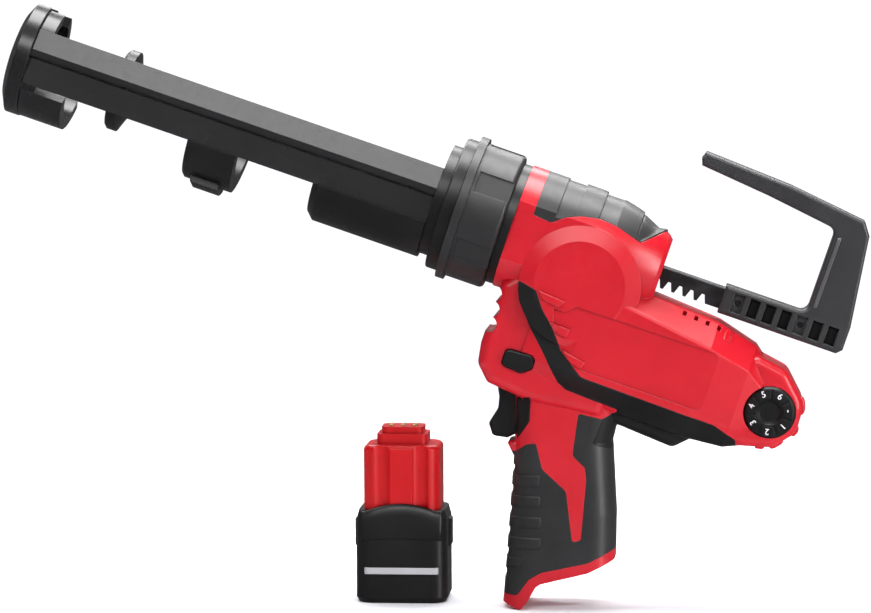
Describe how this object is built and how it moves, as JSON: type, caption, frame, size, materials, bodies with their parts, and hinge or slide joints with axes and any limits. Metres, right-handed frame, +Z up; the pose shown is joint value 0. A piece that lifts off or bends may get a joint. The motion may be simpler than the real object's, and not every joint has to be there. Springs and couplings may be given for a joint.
{
  "type": "cordless caulking tool",
  "caption": "Pistol-grip powered caulking tool: open cartridge carriage, toothed rack with plunger and pull handle, red housing, trigger, speed dial and a separate battery pack.",
  "frame": {"origin": "centre of the battery bay's mouth, on the grip's axis", "axes": "+X to the tool's rear, +Y to the tool's right, +Z up along the upright grip; the barrel points to -X and rises 19.1 degrees"},
  "size_m": [0.4893, 0.0834, 0.3419],
  "materials": {
    "red_shell": "moulded red plastic, half gloss",
    "black_rubber": "soft black overmould",
    "black_plastic": "black glass-filled plastic",
    "carriage_black": "dark grey coating, satin",
    "steel": "plain steel",
    "rack_steel": "blackened steel",
    "brass": "plain brass",
    "board_green": "board laminate",
    "motor_metal": "plated can",
    "cell_wrap": "shrink sleeve"
  },
  "bodies": {
    "tool": {"housing_left": "red_shell", "housing_right": "red_shell", "top_pad": "black_rubber", "band_left": "black_rubber", "band_right": "black_rubber", "grip_left": "black_rubber", "grip_right": "black_rubber", "barrel_socket": "black_plastic", "front_guide": "black_plastic", "rear_guide": "black_plastic", "shaft_bearings": "steel", "gearbox_case": "motor_metal", "motor": "motor_metal", "dial_control": "black_plastic", "trigger_switch": "black_plastic", "control_board": "board_green", "terminal_block": "black_plastic"},
    "carriage": {"nose_cap": "carriage_black", "rail_left": "carriage_black", "rail_right": "carriage_black", "mid_saddle": "black_plastic", "rear_cradle": "black_plastic", "carriage_flange": "black_plastic"},
    "collar": {"locking_collar": "black_rubber"},
    "plunger": {"rack": "rack_steel", "plunger_disc": "black_plastic", "plunger_screw": "steel", "pull_handle": "black_plastic", "handle_pins": "steel"},
    "rack_shaft": {"pinion_shaft": "steel", "rack_pinion": "steel", "drive_gear": "steel"},
    "drive_shaft": {"drive_pinion": "steel", "drive_pinion_shaft": "steel"},
    "trigger_body": {"trigger": "black_plastic"},
    "lock_body": {"lock_button": "black_plastic"},
    "dial_body": {"speed_dial": "black_plastic"},
    "battery": {"battery_case": "black_plastic", "battery_tower": "red_shell", "battery_cells": "cell_wrap", "battery_contacts": "brass"},
    "front_latch": {"latch_front": "black_rubber"},
    "back_latch": {"latch_back": "black_rubber"}
  },
  "joints": [
    {"name": "rack_slide", "type": "slide", "parent": "tool", "child": "plunger", "axis": [0.9449, 0, -0.3272], "range_m": [-0.03, 0.178]},
    {"name": "pinion_spin", "type": "hinge", "parent": "tool", "child": "rack_shaft", "pos_m": [0.00983, 0, 0.16424], "axis": [0, 1, 0], "range_deg": [-103, 604]},
    {"name": "drive_pinion_spin", "type": "hinge", "parent": "tool", "child": "drive_shaft", "pos_m": [0.03389, 0, 0.14469], "axis": [0, 1, 0], "range_deg": [-2515, 428]},
    {"name": "carriage_turn", "type": "hinge", "parent": "tool", "child": "carriage", "pos_m": [-0.0616, 0, 0.211], "axis": [0.9449, 0, -0.3272], "continuous": true},
    {"name": "collar_turn", "type": "hinge", "parent": "tool", "child": "collar", "pos_m": [-0.0616, 0, 0.211], "axis": [0.9449, 0, -0.3272], "range_deg": [0, 60]},
    {"name": "trigger_pull", "type": "slide", "parent": "tool", "child": "trigger_body", "axis": [1, 0, 0], "range_m": [0, 0.006], "stiffness_N_per_m": 500, "springref_m": -0.004},
    {"name": "lock_slide", "type": "slide", "parent": "tool", "child": "lock_body", "axis": [0, 1, 0], "range_m": [0, 0.004]},
    {"name": "dial_turn", "type": "hinge", "parent": "tool", "child": "dial_body", "pos_m": [0.11622, 0, 0.09619], "axis": [0, 1, 0], "range_deg": [-210, 60]},
    {"name": "battery_lift", "type": "slide", "parent": "tool", "child": "battery", "axis": [0, 0, 1], "range_m": [0, 0.09]},
    {"name": "front_latch_press", "type": "slide", "parent": "battery", "child": "front_latch", "axis": [1, 0, 0], "range_m": [0, 0.0015], "stiffness_N_per_m": 900, "springref_m": -0.002},
    {"name": "back_latch_press", "type": "slide", "parent": "battery", "child": "back_latch", "axis": [-1, 0, 0], "range_m": [0, 0.0015], "stiffness_N_per_m": 900, "springref_m": -0.002}
  ],
  "couplings": [
    {"joint": "pinion_spin", "follows": "rack_slide", "rad_per_m": 59.046},
    {"joint": "drive_pinion_spin", "follows": "rack_slide", "rad_per_m": -246.02}
  ]
}
